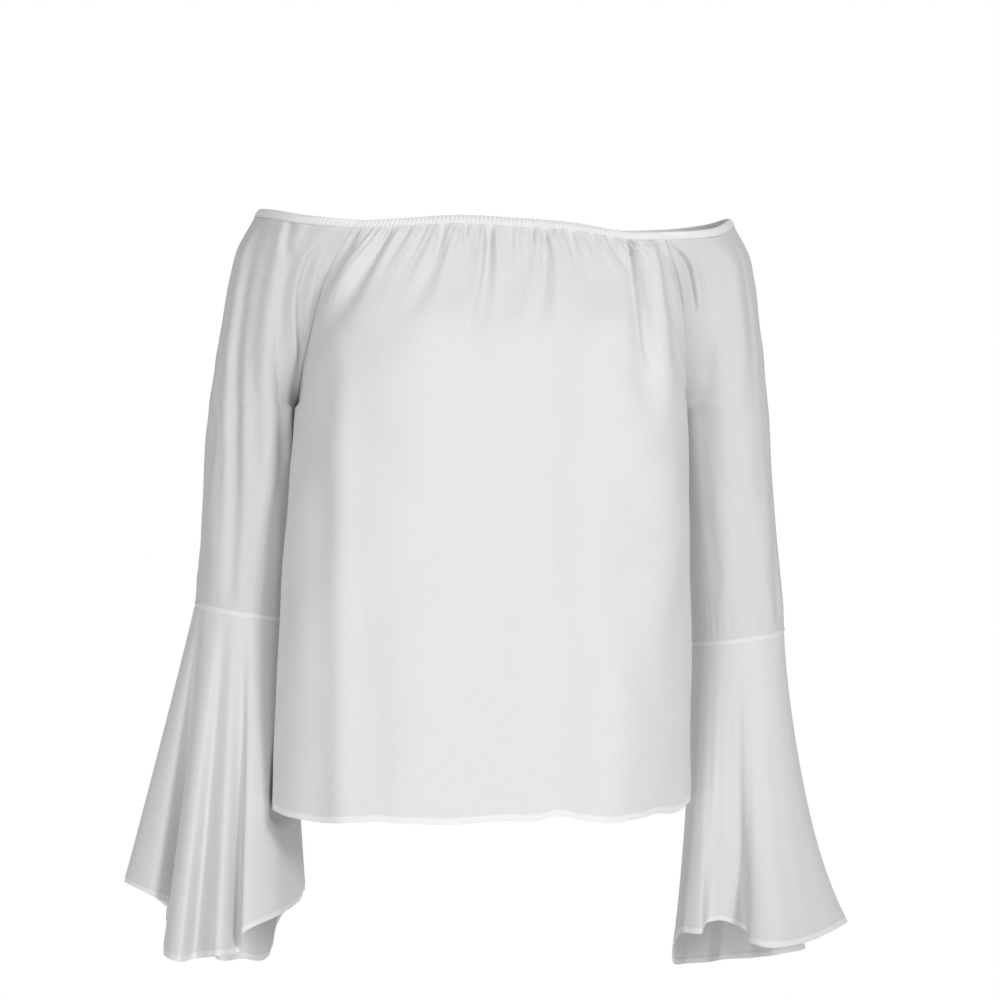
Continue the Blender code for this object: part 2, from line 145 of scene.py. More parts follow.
body = {
    "neckDrop": 17.0,
    "neckFade": 110.0,
    "underarm": 175.0,
    "hem": 541.0,
    "wall": 0.55,
    "stepsPerRuche": 4,
    "hemWidth": 6.0,
    "hemHeight": 0.45,
    "frontRuches": 76,
    "backRuches": 62,
    "frontRows": 104,
    "backRows": 84,
    "crowdRows": 1.45,
    # the soft unevenness of the hanging cloth
    "unevenness": (("wide", "tall", "size"), (70, 260, 1.3), (34, 150, 0.5), (140, 400, 1.6)),
    "neckline": (
        ("bearing", "level"),
        (-180, -3), (-137, -2), (-118, 1), (-105, 5), (-93, 8), (-80, 4), (-68, -4), (-56, -9),
        (-48, -8), (-29, -5), (0, -7), (29, -10.5), (49, -17), (59, -16), (70, -11), (82, 0),
        (93, 5), (105, 3), (118, 0), (137, -2), (180, -3),
    ),
    "front": (
        ("drop", "centreY", "midX", "midY", "turnX", "turnY", "cornerX", "cornerY",
         "edgeX", "edgeY", "shift"),
        (17, -106, 68, -106, 110, -101, 128, -95, 141, -87, 0),
        (60, -124, 80, -124, 128, -110, 150, -90, 160, -64, -2),
        (110, -142, 88, -144, 140, -117, 164, -80, 171, -40, -4),
        (150, -146, 90, -147, 146, -117, 171, -68, 175, -10, -6),
        (175, -146, 90, -146, 148, -115, 174, -62, 175, 18, -7),
        (240, -142, 92, -142, 152, -112, 180, -56, 172, 18, -10),
        (360, -140, 95, -140, 155, -110, 187, -48, 167, 17, -16),
        (470, -142, 97, -142, 157, -108, 190, -42, 163, 16, -19),
        (541, -144, 98, -144, 158, -106, 191, -38, 161, 16, -20),
    ),
    "back": (
        ("drop", "centreY", "midX", "midY", "edgeX", "edgeY"),
        (17, 112, 88, 109, 135, 97),
        (60, 118, 98, 114, 150, 86),
        (110, 120, 108, 110, 163, 66),
        (150, 114, 114, 101, 172, 40),
        (175, 108, 118, 94, 175, 18),
        (240, 100, 122, 83, 172, 18),
        (360, 104, 124, 84, 167, 17),
        (470, 112, 124, 88, 163, 16),
        (541, 116, 124, 91, 161, 16),
    ),
    "frontFolds": (
        ("topX", "topDrop", "lowX", "lowDrop", "depth", "width", "ease"),
        (-137, 17, -177, 96, 5.0, 5.5, 0.9),
        (-121, 17, -168, 90, -2.6, 5, 0.9),
        (-106, 17, -161, 106, 5.5, 6, 0.9),
        (-84, 17, -116, 74, -1.8, 6, 1.0),
        (-62, 17, -93, 98, 5.5, 6, 1.3),
        (-43, 17, -41, 54, 4.0, 4, 1.4),
        (-22, 17, -42, 122, 7.5, 5, 2.0),
        (-2, 17, -6, 60, 1.8, 4, 1.4),
        (16, 17, 20, 48, 3.6, 4, 1.4),
        (28, 17, 14, 116, 6.0, 6, 2.2),
        (51, 17, 58, 64, 4.8, 5, 1.0),
        (70, 17, 76, 44, 3.8, 4, 1.4),
        (86, 17, 100, 56, 4.8, 5, 1.0),
        (106, 17, 121, 150, 10.0, 3.3, 0.8),
        (104, 17, 116, 190, 3.5, 9, 0.8),
        (124, 17, 137, 210, -6.5, 9, 0.7),
        (22, 110, 38, 545, 5.0, 26, 1.0),
        (88, 330, 80, 545, -4.0, 26, 1.0),
        (-60, 300, -66, 545, -3.0, 34, 1.0),
        (-128, 380, -120, 545, 2.5, 16, 1.0),
        (-152, 100, -155, 545, -3.6, 11, 1.0),
        (-172, 150, -176, 545, 1.5, 11, 1.0),
    ),
    # how far the hem is lifted along its length
    "hemWaves": (
        ("x", "lift", "width"),
        (-198, 6, 16), (-150, -1.5, 14), (-104, 1.5, 15), (-44, -1.5, 18), (8, 1.2, 15),
        (56, 4.5, 15), (104, -2, 15), (150, 2.5, 13), (192, 10, 13),
    ),
    "backFolds": (
        ("topX", "topDrop", "lowX", "lowDrop", "depth", "width", "ease"),
        (-104, 17, -124, 110, 4.0, 7, 1.2),
        (-70, 17, -84, 90, 3.5, 6, 1.2),
        (-36, 17, -44, 120, 4.0, 7, 1.2),
        (-4, 17, 4, 80, 3.0, 6, 1.2),
        (34, 17, 46, 126, 4.0, 7, 1.2),
        (72, 17, 82, 84, 3.5, 6, 1.2),
        (106, 17, 122, 104, 4.0, 7, 1.2),
        (-52, 190, -44, 545, 8.0, 26, 1.2),
        (48, 220, 58, 545, 7.0, 24, 1.2),
        (2, 300, 6, 545, -4.0, 26, 1.2),
    ),
}

sleeve = {
    "wall": 0.55,
    "steps": 132,
    "restGap": 0.9,
    "unevenness": (("wide", "tall", "size"), (0.10, 170, 1.0), (0.05, 90, 0.45), (0.2, 260, 1.2)),
    "sections": (
        ("drop", "centreX", "centreY", "halfX", "halfY", "frontSweep", "backSweep"),
        (17, 140, 8, 82, 97, 90, 92),
        (38, 171, 13, 66, 84, 94, 102),
        (60, 187, 18, 57, 74, 98, 112),
        (110, 208, 27, 45, 62, 112, 140),
        (150, 214, 32, 44, 57, 134, 170),
        (175, 217, 34, 44, 55, 163, 197),
        (240, 222, 36, 43, 53, 163, 197),
        (300, 227, 36, 43, 51, 163, 197),
        (390, 234, 34, 43, 50, 163, 197),
    ),
    "folds": {
        "right": (
            ("bearing", "start", "lowBearing", "end", "depth", "width", "ease"),
            (42, 10, 14, 46, 5.0, 4, 1.0),
            (43, 12, -16, 262, -3.2, 8, 0.55),
            (33, 12, -28, 230, 2.8, 6, 0.55),
            (80, 14, 14, 400, 3.6, 7, 0.3),
            (14, 12, -30, 200, -4.0, 8, 0.75),
            (1, 37, -29, 138, 9.0, 3.3, 1.2),
            (112, 40, 120, 330, 3.0, 15, 1.0),
            (158, 90, 150, 400, 3.0, 15, 1.0),
        ),
        "left": (
            ("bearing", "start", "lowBearing", "end", "depth", "width", "ease"),
            (-1, 12, -22, 92, 8.0, 3.2, 1.0),
            (16, 14, -24, 150, 2.0, 8, 0.8),
            (34, 14, 2, 190, -2.0, 10, 0.7),
            (-30, 60, -22, 260, 2.0, 15, 1.0),
            (12, 250, 8, 430, 3.0, 14, 1.0),
            (44, 300, 46, 430, 2.0, 12, 1.0),
            (116, 40, 120, 330, 3.0, 15, 1.0),
            (160, 90, 152, 430, 3.0, 15, 1.0),
        ),
    },
    "cuff": {
        "right": {"drop": 361.0, "tilt": 7.5, "flare": 1.0, "settle": 1.15, "unease": 0.9},
        "left": {"drop": 386.0, "tilt": 6.0, "flare": 1.5, "settle": 3.0, "unease": 0.55},
    },
}

flounce = {
    "wall": 0.55,
    "stepsPerFold": 12,
    "rows": 52,
    "hemWidth": 5.0,
    "hemHeight": 0.4,
    # waves round the flounce that roughen its folds and its hem
    "livelyWaves": (5, 9, 14, 23),
    "smallWaves": (37, 53, 71, 97),
    "folds": {
        "right": (
            ("bearing", "across", "behind", "drop"),
            (-100, 173, 42, 617), (-66, 181, 10, 626), (-30, 206, -50, 632), (-8, 237, -73, 643),
            (3, 240, -53, 663), (14, 261, -76, 663), (24, 279, -45, 669), (36, 294, -71, 668),
            (52, 308, -42, 661), (64, 292, 6, 632), (75, 315, -10, 617), (92, 340, 22, 607),
            (112, 322, 60, 618), (127, 296, 64, 640), (142, 298, 108, 655), (158, 264, 120, 680),
            (172, 248, 90, 690), (186, 227, 122, 693), (204, 204, 100, 690), (222, 195, 70, 650),
            (242, 177, 62, 630),
        ),
        "left": (
            ("bearing", "across", "behind", "drop"),
            (-98, 166, 10, 676), (-74, 164, -35, 656), (-52, 180, -56, 654), (-38, 190, -36, 647),
            (-24, 206, -38, 645), (-11, 228, -34, 656), (1, 221, -80, 660), (14, 244, -96, 662),
            (38, 285, -62, 660), (64, 329, -8, 652), (86, 322, 30, 660), (102, 298, 52, 674),
            (118, 312, 92, 690), (138, 286, 110, 698), (152, 256, 84, 697), (167, 234, 108, 701),
            (184, 213, 82, 700), (204, 195, 92, 702), (232, 177, 60, 697),
        ),
    },
}

casing = {
    "height": 9.0,
    "underPanel": 0.3,
    "rucheHeight": 0.75,
    "topWave": 0.45,
    "stepsPerRuche": 8,
    "doubled": 0.75,
    # how far each line of the folded strip stands out, from its lower edge over the top and back
    "profile": (
        ("level", "out"),
        (0.0, -0.5), (0.25, 0.35), (0.9, 0.75), (2.2, 1.25), (4.4, 1.5), (6.6, 1.3), (8.0, 0.8),
        (8.8, 0.1), (9.1, -0.8), (8.6, -1.7), (6.5, -2.0), (3.0, -2.0), (0.4, -1.8),
    ),
}

sides = {"right": -1, "left": 1}
sectionPoints = 321


def edgeOf(drop, face):
    row = read(body["front"] if face == "front" or drop >= body["underarm"] else body["back"], drop)
    return np.array([row["edgeX"], row["edgeY"]])


def bodySection(drop, face):
    # below the underarm the front and the back are one closed curve
    front = read(body["front"], drop)
    back = read(body["back"], drop)
    frontHalf = [(0, front["centreY"]), (front["midX"], front["midY"]),
                 (front["turnX"], front["turnY"]), (front["cornerX"], front["cornerY"]),
                 edgeOf(drop, "front")]
    backHalf = [(0, back["centreY"]), (back["midX"], back["midY"]), edgeOf(drop, "back")]
    half, other = (frontHalf, backHalf) if face == "front" else (backHalf, frontHalf)
    beyond = other[-2:-3:-1] if drop >= body["underarm"] else []
    half = np.asarray(half + beyond, float)
    points = np.concatenate([half[:0:-1] * (-1, 1), half])
    keys = lengthsOf(points)
    start, end = keys[len(beyond)], keys[len(points) - 1 - len(beyond)]
    return through(keys, points, np.linspace(start, end, sectionPoints)) + (front["shift"], 0)


def sleeveSection(drop, side):
    row = read(sleeve["sections"], drop)
    shift = read(body["front"], drop)["shift"]
    share = np.linspace(0, 1, sectionPoints)
    angle = np.radians(-row["frontSweep"] + (row["frontSweep"] + row["backSweep"]) * share)
    oval = np.stack([row["centreX"] + row["halfX"] * np.cos(angle),
                     row["centreY"] + row["halfY"] * np.sin(angle)], axis=1)
    if drop < body["underarm"]:
        start = edgeOf(drop, "front") + (shift * side, 0) - oval[0]
        end = edgeOf(drop, "back") + (shift * side, 0) - oval[-1]
        oval = oval + start * ((1 - share) ** 7)[:, None] + end * (share ** 7)[:, None]
    return even(oval, sleeve["steps"]), row


def bearingOf(points):
    return np.degrees(np.arctan2(points[:, 0], -points[:, 1]))


def raised(points, drop):
    level = through(column(body["neckline"], "bearing"), column(body["neckline"], "level"),
                    bearingOf(points))[:, 0]
    level = level - casing["height"] - casing["underPanel"]
    fade = max(0.0, 1 - (drop - body["neckDrop"]) / body["neckFade"]) ** 2
    return np.column_stack([points, -drop + (level + body["neckDrop"]) * fade])


def towardsEnds(count, margin):
    place = np.arange(count)
    return np.clip(np.minimum(place, place[::-1]) / margin, 0, 1)


def foldPush(x, drop, folds):
    push = np.zeros(len(x))
    for topX, topDrop, lowX, lowDrop, depth, width, ease in folds[1:]:
        if topDrop <= drop <= lowDrop:
            share = (drop - topDrop) / (lowDrop - topDrop)
            middle = topX + (lowX - topX) * share ** ease
            long = lowDrop > body["hem"]
            grow = rise((drop - topDrop) / 70) if long else rise((drop - topDrop + 3) / 13)
            fade = 1.0 if long else math.cos(share * math.pi / 2)
            side = 0.0 if long else 0.4
            spread = width if long else width * (0.62 + 0.75 * share)
            shape = bump(x - middle, spread)
            shape = shape - side * (bump(x - middle - spread * 1.8, spread)
                                    + bump(x - middle + spread * 1.8, spread))
            push += depth * grow * fade * shape
    return push


def inPlane(points):
    along = np.gradient(points, axis=0)
    normal = np.stack([along[:, 1], -along[:, 0]], axis=1)
    return normal / np.linalg.norm(normal, axis=1)[:, None]


def outward(grid, closed, flip):
    # the outer normals of a grid of points
    if closed:
        wide = np.concatenate([grid[:, -2:-1], grid, grid[:, 1:2]], axis=1)
        along = (wide[:, 2:] - wide[:, :-2])
    else:
        along = np.gradient(grid, axis=1)
    down = np.gradient(grid, axis=0)
    normal = np.cross(along, down)
    normal /= np.linalg.norm(normal, axis=2)[:, :, None] + 1e-9
    return -normal if flip else normal


def hemProfile(distance, width, height):
    # a narrow turned hem: a flat raised band with a stitched inner edge
    band = rise((width - distance) / 0.8 + 0.5)
    edge = 0.35 * np.exp(-distance / 0.7)
    groove = -0.25 * bump(distance - width - 0.5, 0.7)
    return height * (band - edge) + groove


def levelsDown(start, end, count, hemWidth, crowd):
    share = np.linspace(0, 1, count + 1)
    upper = start + (end - hemWidth - 2.2 - start) * share ** crowd
    hemRows = end - hemWidth + np.array([-1.2, -0.6, -0.1, 0.4, 1.2, 2.6, hemWidth - 1.6,
                                         hemWidth - 0.8, hemWidth - 0.3, hemWidth])
    return np.concatenate([upper, hemRows])


def bodyPanel(face):
    front = face == "front"
    ruches = body[face + "Ruches"]
    count = ruches * body["stepsPerRuche"]
    drops = levelsDown(body["neckDrop"], body["hem"], body[face + "Rows"], body["hemWidth"],
                       body["crowdRows"])
    rows = []
    for drop in drops:
        section = even(bodySection(drop, face), count)
        push = foldPush(section[:, 0], drop, body[face + "Folds"])
        push *= towardsEnds(len(push), 9)
        normal = inPlane(section) * (1 if front else -1)
        rows.append(raised(section - normal * push[:, None], drop))
    grid = np.array(rows)
    if front:
        hemX = grid[-1, :, 0] - body["front"][-1][-1]
        lift = sum(size * bump(hemX - x, wide) for x, size, wide in body["hemWaves"][1:])
        grid[:, :, 2] += lift * rise((drops[:, None] - body["hem"] + 90) / 90)
    down = np.cumsum(np.concatenate([np.zeros((1, count + 1)),
                                     np.linalg.norm(np.diff(grid, axis=0), axis=2)]), axis=0)
    across = np.linspace(0, 1, count + 1)
    seed = 11 if front else 23
    # fine gathers just under the casing
    phase = 2 * np.pi * ruches * across
    size = 0.55 + 0.35 * wander(across, seed, 0.06)
    reach = 9 + 6 * wander(across, seed + 1, 0.04)
    ends = towardsEnds(count + 1, 22)
    height = 0.75 * np.cos(phase) * size * ends * np.exp(-(down / np.clip(reach, 4, 20)) ** 1.2)
    # groups of gathers that run a little further
    group = wander(across, seed + 2, 0.022)
    height = height + 1.0 * group * ends * np.exp(-down / 26) * rise(down / 4)
    middle = across * 400
    for place, (wide, tall, size) in enumerate(body["unevenness"][1:]):
        drift = wander(down, seed + 7 + place, tall) * wide * 0.5
        height = height + size * wander(middle[None, :] + drift, seed + 3 + place, wide) \
            * towardsEnds(count + 1, 30) * rise(down / 90)
    fromHem = drops[-1] - drops
    pucker = 0.12 * wander(middle, seed + 9, 5.0)[None, :] * bump(fromHem - 4, 5)[:, None]
    height = height + hemProfile(fromHem, body["hemWidth"], body["hemHeight"])[:, None] + pucker
    normal = outward(grid, False, not front)
    hemLayers = 0.85 * rise((body["hemWidth"] - fromHem) / 1.4 + 0.5)
    layers = np.maximum(hemLayers[:, None] * np.ones(count + 1), rise((3 - down) / 3) * 0.5)
    return grid + normal * height[:, :, None], layers


limits = {}


def limitField(side):
    # how far out the body reaches, by drop and by y
    if side not in limits:
        drops = np.arange(body["underarm"], body["hem"] + 1, 6.1)
        ys = np.arange(-160, 140, 2.0)
        field = []
        for drop in drops:
            ring = np.concatenate([bodySection(drop, "front"), bodySection(drop, "back")[::-1]])
            ring = ring[ring[:, 0] * side > 90]
            order = np.argsort(ring[:, 1])
            reach = np.interp(ys, ring[order, 1], ring[order, 0] * side, 0, 0)
            field.append(np.maximum.reduce([reach, np.roll(reach, 2), np.roll(reach, -2)]))
        limits[side] = (drops, ys, np.array(field))
    return limits[side]


def clearOfBody(grid, side):
    drops, ys, field = limitField(side)
    drop = -grid[..., 2]
    row = np.clip((np.minimum(drop, body["hem"]) - drops[0]) / 6.1, 0, len(drops) - 1.001)
    place = np.clip((grid[..., 1] - ys[0]) / 2.0, 0, len(ys) - 1.001)
    r, p = row.astype(int), place.astype(int)
    fr, fp = row - r, place - p
    limit = (field[r, p] * (1 - fr) * (1 - fp) + field[r + 1, p] * fr * (1 - fp)
             + field[r, p + 1] * (1 - fr) * fp + field[r + 1, p + 1] * fr * fp)
    below = np.clip(drop - body["hem"] - 3, 0, None)
    push = np.clip(limit + sleeve["restGap"] - below - grid[..., 0], 0, None) * (below < 60)
    # above the underarm the push starts gently and leaves the seam where it is
    early = rise((drop - body["underarm"] + 32) / 32) * towardsEnds(grid.shape[1], 12)
    out = grid.copy()
    out[..., 0] += push * np.where(drop >= body["underarm"] - 0.5, 1, early)
    return out


def sleevePanel(name):
    side = sides[name]
    cuff = sleeve["cuff"][name]
    count = sleeve["steps"]
    yoke = body["neckDrop"] + (body["underarm"] - body["neckDrop"]) * np.linspace(0, 1, 49) ** 1.2
    lower = np.concatenate([np.linspace(body["underarm"], cuff["drop"] - 5, 44)[1:],
                            cuff["drop"] - np.array([3.6, 2.4, 1.4, 0.6, 0])])
    rows = []
    for drop in np.concatenate([yoke, lower]):
        section, row = sleeveSection(drop, side)
        around = bearingOf(section - (row["centreX"], row["centreY"]))
        radial = section - section.mean(axis=0)
        radial /= np.linalg.norm(radial, axis=1)[:, None]
        push = np.zeros(count + 1)
        for start, top, lowBearing, end, depth, width, ease in sleeve["folds"][name][1:]:
            share = min(1.0, max(0.0, (drop - top) / (end - top)))
            middle = start + (lowBearing - start) * share ** ease
            off = around - middle
            shape = bump(off, width) - 0.3 * (bump(off - width * 1.6, width)
                                              + bump(off + width * 1.6, width))
            push += depth * 1.2 * math.sqrt(math.sin(math.pi * share)) * shape
        push *= towardsEnds(count + 1, 5) * rise((cuff["drop"] - drop) / 26)
        points = raised((section - radial * push[:, None]) * (side, 1), drop) * (side, 1, 1)
        lean = max(0.0, (drop - body["underarm"]) / (cuff["drop"] - body["underarm"])) ** 3
        points[:, 2] += cuff["tilt"] * lean * (points[:, 0] - row["centreX"]) / row["halfX"]
        rows.append(points)
    grid = np.array(rows)
    steps = np.linalg.norm(np.diff(grid, axis=0), axis=2)
    down = np.cumsum(np.concatenate([np.zeros((1, count + 1)), steps]), axis=0)
    fromCuff = down[-1][None, :] - down
    across = np.linspace(0, 1, count + 1)
    seed = 41 if side < 0 else 57
    ends = towardsEnds(count + 1, 14)
    height = np.zeros_like(down)
    for place, (wide, tall, size) in enumerate(sleeve["unevenness"][1:]):
        drift = wander(down, seed + 7 + place, tall) * wide * 0.25
        height = height + cuff["unease"] * size * rise(down / 40) * rise(fromCuff / 24) * ends \
            * wander(across[None, :] + drift, seed + place, wide)
    # short easing folds at the neckline and where the flounce is sewn on
    height = height + 0.35 * ends * wander(across, seed + 11, 0.012)[None, :] * np.exp(-down / 9)
    height = height + 0.5 * wander(across, seed + 12, 0.02)[None, :] * rise(fromCuff / 7) \
        * np.exp(-fromCuff / 22)
    height = height - 0.75 * bump(fromCuff, 1.6)
    grid = clearOfBody(grid + outward(grid, False, False) * height[:, :, None], side)
    closedFrom = len(yoke) - 1
    grid[closedFrom:, -1] = grid[closedFrom:, 0] = (grid[closedFrom:, -1] + grid[closedFrom:, 0]) / 2
    layers = np.maximum(rise((1.5 - fromCuff) / 1.5) * 0.4, rise((3 - down) / 3) * 0.4)
    return grid * (side, 1, 1), layers, closedFrom


def flouncePanel(name):
    side = sides[name]
    table = flounce["folds"][name]
    cuff = sleeve["cuff"][name]
    row = read(sleeve["sections"], cuff["drop"])
    count = len(table) - 1
    keys = np.arange(-3, count + 4)
    values = np.stack([column(table, part) for part in table[0]], axis=1)[keys % count]
    values[:, 0] += 360 * (keys // count)
    total = count * flounce["stepsPerFold"]
    at = np.arange(total + 1) / flounce["stepsPerFold"]
    fine = through(keys, values, at)
    angle = np.radians(fine[:, 0])
    seam = np.column_stack([row["centreX"] + row["halfX"] * np.sin(angle),
                            row["centreY"] - row["halfY"] * np.cos(angle),
                            -cuff["drop"] + cuff["tilt"] * np.sin(angle)])
    hem = np.column_stack([fine[:, 1], fine[:, 2], -fine[:, 3]])
    length = np.linalg.norm(hem - seam, axis=1).mean()
    hemRows = 1 - np.array([flounce["hemWidth"] + 1.2, flounce["hemWidth"] + 0.5, flounce["hemWidth"],
                            flounce["hemWidth"] - 0.5, flounce["hemWidth"] - 1.3, 2.4, 1.2, 0.5,
                            0.0]) / length
    top = np.array([0, 0.8, 1.6, 2.6, 3.4, 4.2, 4.8, 5.4, 7.0, 9.0]) / length
    between = np.linspace(top[-1], hemRows[0] - 0.01, flounce["rows"])[1:]
    shares = np.concatenate([top, between, hemRows])
    # the hem's own folds fade upwards into a smooth cone
    span = flounce["stepsPerFold"] * 5
    weights = np.hanning(span + 2)[1:-1]
    around = np.concatenate([hem[:-1], hem[:-1], hem[:-1]])
    smooth = np.stack([np.convolve(around[:, axis], weights / weights.sum(), "same")
                       for axis in range(3)], axis=1)[total:2 * total + 1]
    rings = []
    for share in shares:
        flare = share ** cuff["flare"]
        folds = share ** (cuff["flare"] * cuff["settle"])
        rings.append(seam + (smooth - seam) * (flare, flare, share)
                     + (hem - smooth) * (folds, folds, share))
    grid = np.array(rings)
    down = shares[:, None] * length * np.ones(total + 1)
    fromHem = length - down
    seed = 71 if side < 0 else 83
    turns = 2 * np.pi * at / count
    lively = np.zeros(total + 1)
    chance = np.random.default_rng(seed)
    for part in flounce["livelyWaves"]:
        lively += np.sin(part * turns + chance.uniform(0, 6.28)) / math.sqrt(part)
    small = np.zeros(total + 1)
    for part in flounce["smallWaves"]:
        small += np.sin(part * turns + chance.uniform(0, 6.28)) / 2
    height = 1.2 * lively[None, :] * rise(down / 180)
    height = height + 0.35 * small[None, :] * np.exp(-fromHem / 16)
    height = height - 0.75 * bump(down, 1.6) + 0.22 * rise((4.8 - down) / 0.8) * rise(down / 2)
    height = height + hemProfile(fromHem, flounce["hemWidth"], flounce["hemHeight"])
    grid = grid + outward(grid, True, False) * height[:, :, None]
    grid = clearOfBody(grid, side)
    grid[:, -1] = grid[:, 0]
    ragged = 0.5 * small[None, :]
    layers = np.maximum(0.85 * rise((flounce["hemWidth"] - fromHem) / 1.4 + 0.5),
                        0.6 * rise((4.8 + 0.6 * ragged - down) / 1.8))
    return grid * (side, 1, 1), layers


def quadsOf(indices, flip):
    a, b = indices[:-1, :-1].ravel(), indices[:-1, 1:].ravel()
    c, d = indices[1:, 1:].ravel(), indices[1:, :-1].ravel()
    return np.stack([a, b, c, d] if flip else [a, d, c, b], axis=1)


def gridPiece(name, grid, joined, cut, layers, flip):
    # joined says which points of the grid are one; the cut in millimetres becomes the UVs
    used, renumbered = np.unique(joined, return_inverse=True)
    points = grid.reshape(-1, 3)[used] * mm
    mesh = bpy.data.meshes.new(name)
    mesh.from_pydata(points.tolist(), [], quadsOf(renumbered.reshape(joined.shape), flip).tolist())
    corners = quadsOf(np.arange(joined.size).reshape(joined.shape), flip).ravel()
    mesh.uv_layers.new(name="cut").data.foreach_set("uv", (cut * mm)[corners].ravel())
    doubled = mesh.attributes.new("layers", "FLOAT", "POINT")
    doubled.data.foreach_set("value", layers.ravel()[used].astype(np.float32))
    mesh.shade_smooth()
    mesh.update()
    return addObject(name, mesh)


def makeCloth(name, grid, layers, closedFrom, flip, wall):
    # a grid of points in millimetres becomes a thin shell with its cut laid out as UVs
    grid = grid.copy()
    for edge, inner in ((0, 1), (-1, -2)):
        # open edges reach a little into the seam
        reach = grid[:closedFrom, edge] - grid[:closedFrom, inner]
        grid[:closedFrom, edge] += 0.4 * reach / (np.linalg.norm(reach, axis=1)[:, None] + 1e-9)
    rowCount, width = grid.shape[0], grid.shape[1] - 1
    rowLengths = np.linalg.norm(np.diff(grid, axis=1), axis=2)
    across = np.concatenate([np.zeros((rowCount, 1)), np.cumsum(rowLengths, axis=1)], axis=1)
    across -= across[:, -1:] / 2
    down = lengthsOf(grid[:, width // 2])
    joined = np.arange(rowCount * (width + 1)).reshape(rowCount, width + 1)
    joined[closedFrom:, -1] = joined[closedFrom:, 0]
    cut = np.column_stack([across.ravel(), -np.repeat(down, width + 1)])
    piece = gridPiece(name, grid, joined, cut, layers, flip)
    shell = piece.modifiers.new("wall", "SOLIDIFY")
    shell.thickness = wall * mm
    shell.offset = -1
    shell.use_rim = True
    return piece


# ---- materials ----

crepe = {
    "colour": (0.80, 0.80, 0.795, 1),
    "doubled": (0.94, 0.925, 0.915, 1),
    "roughness": 0.82,
    "sheen": 0.25,
    "sheenRoughness": 0.4,
    "specular": 0.25,
    "relief": 0.5,
    "grain": 0.00022,
    "weavePitch": 0.00042,
}


def newFinish(name):
    material = bpy.data.materials.new(name)
    material.use_nodes = True
    tree = material.node_tree
    return material, tree.nodes, tree.links, tree.nodes["Principled BSDF"]


def mapRange(nodes, fromLow, fromHigh, toLow, toHigh):
    node = nodes.new("ShaderNodeMapRange")
    for socket, value in zip(node.inputs[1:5], (fromLow, fromHigh, toLow, toHigh)):
        socket.default_value = value
    return node


def makeWeaveGroup():
    # plain weave with the uneven pebbled grain of crepe, from the cut's own coordinates
    tree = bpy.data.node_groups.new("crepeWeave", "ShaderNodeTree")
    for name, value in (("Pitch", 0.0004), ("Pebble", 900.0), ("Slub", 0.5)):
        socket = tree.interface.new_socket(name, in_out="INPUT", socket_type="NodeSocketFloat")
        socket.default_value = value
    tree.interface.new_socket("Cut", in_out="INPUT", socket_type="NodeSocketVector")
    tree.interface.new_socket("Height", in_out="OUTPUT", socket_type="NodeSocketFloat")
    tree.interface.new_socket("Tone", in_out="OUTPUT", socket_type="NodeSocketFloat")
    nodes, links = tree.nodes, tree.links
    start, end = nodes.new("NodeGroupInput"), nodes.new("NodeGroupOutput")

    def combine(kind, a, b):
        node = nodes.new("ShaderNodeMath")
        node.operation = kind
        for socket, value in zip(node.inputs, (a, b)):
            if isinstance(value, (int, float)):
                socket.default_value = value
            elif value is not None:
                links.new(value, socket)
        return node.outputs[0]

    split = nodes.new("ShaderNodeSeparateXYZ")
    links.new(start.outputs["Cut"], split.inputs[0])
    rate = combine("DIVIDE", math.pi, start.outputs["Pitch"])
    warp = combine("SINE", combine("MULTIPLY", split.outputs["X"], rate), None)
    weft = combine("SINE", combine("MULTIPLY", split.outputs["Y"], rate), None)
    threads = combine("MULTIPLY", warp, weft)
    pebble = nodes.new("ShaderNodeTexNoise")
    pebble.inputs["Detail"].default_value = 3
    pebble.inputs["Roughness"].default_value = 0.6
    links.new(start.outputs["Cut"], pebble.inputs["Vector"])
    links.new(start.outputs["Pebble"], pebble.inputs["Scale"])
    stretched = nodes.new("ShaderNodeMapping")
    stretched.inputs["Scale"].default_value = (60, 900, 1)
    links.new(start.outputs["Cut"], stretched.inputs["Vector"])
    slub = nodes.new("ShaderNodeTexNoise")
    slub.inputs["Scale"].default_value = 1.0
    slub.inputs["Detail"].default_value = 2
    links.new(stretched.outputs[0], slub.inputs["Vector"])
    uneven = combine("MULTIPLY", combine("SUBTRACT", slub.outputs["Fac"], 0.5), start.outputs["Slub"])
    height = combine("ADD", combine("MULTIPLY", threads, 0.25),
                     combine("MULTIPLY", pebble.outputs["Fac"], 1.4))
    links.new(combine("ADD", height, uneven), end.inputs["Height"])
    tone = combine("ADD", combine("MULTIPLY", pebble.outputs["Fac"], 0.6),
                   combine("MULTIPLY", uneven, 0.6))
    links.new(tone, end.inputs["Tone"])
    return tree


weaveGroup = makeWeaveGroup()


